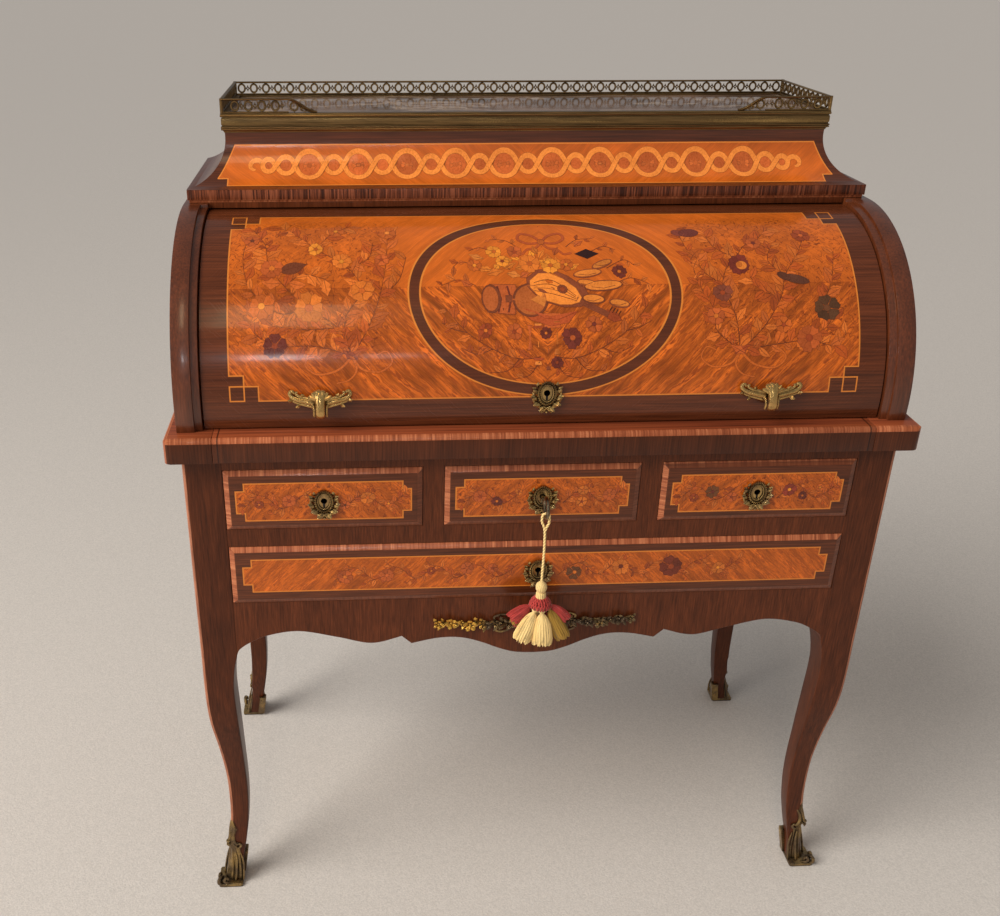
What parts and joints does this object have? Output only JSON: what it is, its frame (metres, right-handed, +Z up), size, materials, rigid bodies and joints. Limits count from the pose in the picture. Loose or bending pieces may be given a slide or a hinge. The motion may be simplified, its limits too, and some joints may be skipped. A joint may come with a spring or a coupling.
{
  "type": "writing table",
  "caption": "Cylinder-top writing table on cabriole legs, with writing slide, drawers, inner fitment, marble top, brass gallery, and a tasselled key.",
  "frame": {"origin": "centre of the footprint on the floor, measured with the key in its lock", "axes": "+X to the right seen from the front, +Y towards the back, +Z up; the front faces -Y"},
  "size_m": [0.92, 0.488, 1.089],
  "materials": {
    "dark_wood": "dark kingwood veneer, French polished",
    "side_wood": "red-brown veneer, French polished",
    "marquetry": "orange tulipwood veneer with marquetry, French polished",
    "plain_wood": "plain planed wood of the carcass",
    "gilt_brass": "cast and chased gilt brass, rubbed",
    "old_brass": "brass with a brown patina",
    "marble": "grey mauve marble, polished",
    "leather": "green leather, worn",
    "steel": "old bright steel",
    "silk": "silk thread, cream, red and olive"
  },
  "bodies": {
    "carcass": {"leg_front_left": "dark_wood", "leg_front_right": "dark_wood", "leg_back_left": "dark_wood", "leg_back_right": "dark_wood", "sabot_front_left": "gilt_brass", "sabot_front_right": "gilt_brass", "sabot_back_left": "gilt_brass", "sabot_back_right": "gilt_brass", "front_apron": "dark_wood", "apron_mount": "gilt_brass", "top_rail": "dark_wood", "middle_rail": "dark_wood", "drawer_dividers": "dark_wood", "lower_side_left": "side_wood", "lower_side_right": "side_wood", "lower_back": "plain_wood", "dust_boards": "plain_wood", "slide_bearers": "plain_wood", "top_end_left": "dark_wood", "top_end_right": "dark_wood", "rear_bed": "plain_wood", "upper_side_left": "side_wood", "upper_side_right": "side_wood", "upper_back": "plain_wood", "cornice": "dark_wood", "hollow_frieze": "marquetry", "brass_edge": "old_brass", "marble_top": "marble", "gallery": "old_brass", "fitment": "side_wood", "pivot_pins": "old_brass"},
    "cylinder": {"cylinder_shell": "marquetry", "cylinder_arm_left": "plain_wood", "cylinder_arm_right": "plain_wood", "cylinder_handle_left": "gilt_brass", "cylinder_handle_right": "gilt_brass", "cylinder_escutcheon": "gilt_brass"},
    "writing_slide": {"slide_board": "dark_wood", "slide_leather": "leather"},
    "left_drawer": {"left_drawer_front": "marquetry", "left_drawer_box": "plain_wood", "left_escutcheon": "gilt_brass"},
    "centre_drawer": {"centre_drawer_front": "marquetry", "centre_drawer_box": "plain_wood", "centre_escutcheon": "gilt_brass", "drawer_lock": "steel"},
    "right_drawer": {"right_drawer_front": "marquetry", "right_drawer_box": "plain_wood", "right_escutcheon": "gilt_brass"},
    "long_drawer": {"long_drawer_front": "marquetry", "long_drawer_box": "plain_wood", "long_escutcheon": "gilt_brass"},
    "inner_left": {"inner_drawer_left": "side_wood", "inner_knob_left": "old_brass"},
    "inner_right": {"inner_drawer_right": "side_wood", "inner_knob_right": "old_brass"},
    "key": {"key": "steel"},
    "bolt": {"lock_bolt": "steel"},
    "tassel": {"key_cord": "silk", "key_tassel": "silk"}
  },
  "joints": [
    {"name": "cylinder_roll", "type": "hinge", "parent": "carcass", "child": "cylinder", "pos_m": [0, 0.01, 0.763], "axis": [-1, 0, 0], "range_deg": [0, 78]},
    {"name": "slide_pull", "type": "slide", "parent": "carcass", "child": "writing_slide", "axis": [0, -1, 0], "range_m": [0, 0.18]},
    {"name": "left_drawer_pull", "type": "slide", "parent": "carcass", "child": "left_drawer", "axis": [0, -1, 0], "range_m": [0, 0.26]},
    {"name": "centre_drawer_pull", "type": "slide", "parent": "carcass", "child": "centre_drawer", "axis": [0, -1, 0], "range_m": [0, 0.26]},
    {"name": "right_drawer_pull", "type": "slide", "parent": "carcass", "child": "right_drawer", "axis": [0, -1, 0], "range_m": [0, 0.26]},
    {"name": "long_drawer_pull", "type": "slide", "parent": "carcass", "child": "long_drawer", "axis": [0, -1, 0], "range_m": [0, 0.26], "deforming": ["key_cord", "key_tassel"]},
    {"name": "inner_left_pull", "type": "slide", "parent": "carcass", "child": "inner_left", "axis": [0, -1, 0], "range_m": [0, 0.085]},
    {"name": "inner_right_pull", "type": "slide", "parent": "carcass", "child": "inner_right", "axis": [0, -1, 0], "range_m": [0, 0.085]},
    {"name": "key_turn", "type": "hinge", "parent": "centre_drawer", "child": "key", "pos_m": [0, -0.2, 0.647], "axis": [0, 1, 0], "range_deg": [0, 90]},
    {"name": "bolt_shoot", "type": "slide", "parent": "centre_drawer", "child": "bolt", "axis": [0, 0, 1], "range_m": [0, 0.008]},
    {"name": "tassel_hang", "type": "hinge", "parent": "key", "child": "tassel", "pos_m": [0, -0.2285, 0.6347], "axis": [0, 1, 0], "range_deg": [-90, 0]}
  ],
  "couplings": [
    {"joint": "bolt_shoot", "follows": "key_turn", "m_per_rad": 0.00509},
    {"joint": "tassel_hang", "follows": "key_turn", "ratio": -1}
  ]
}
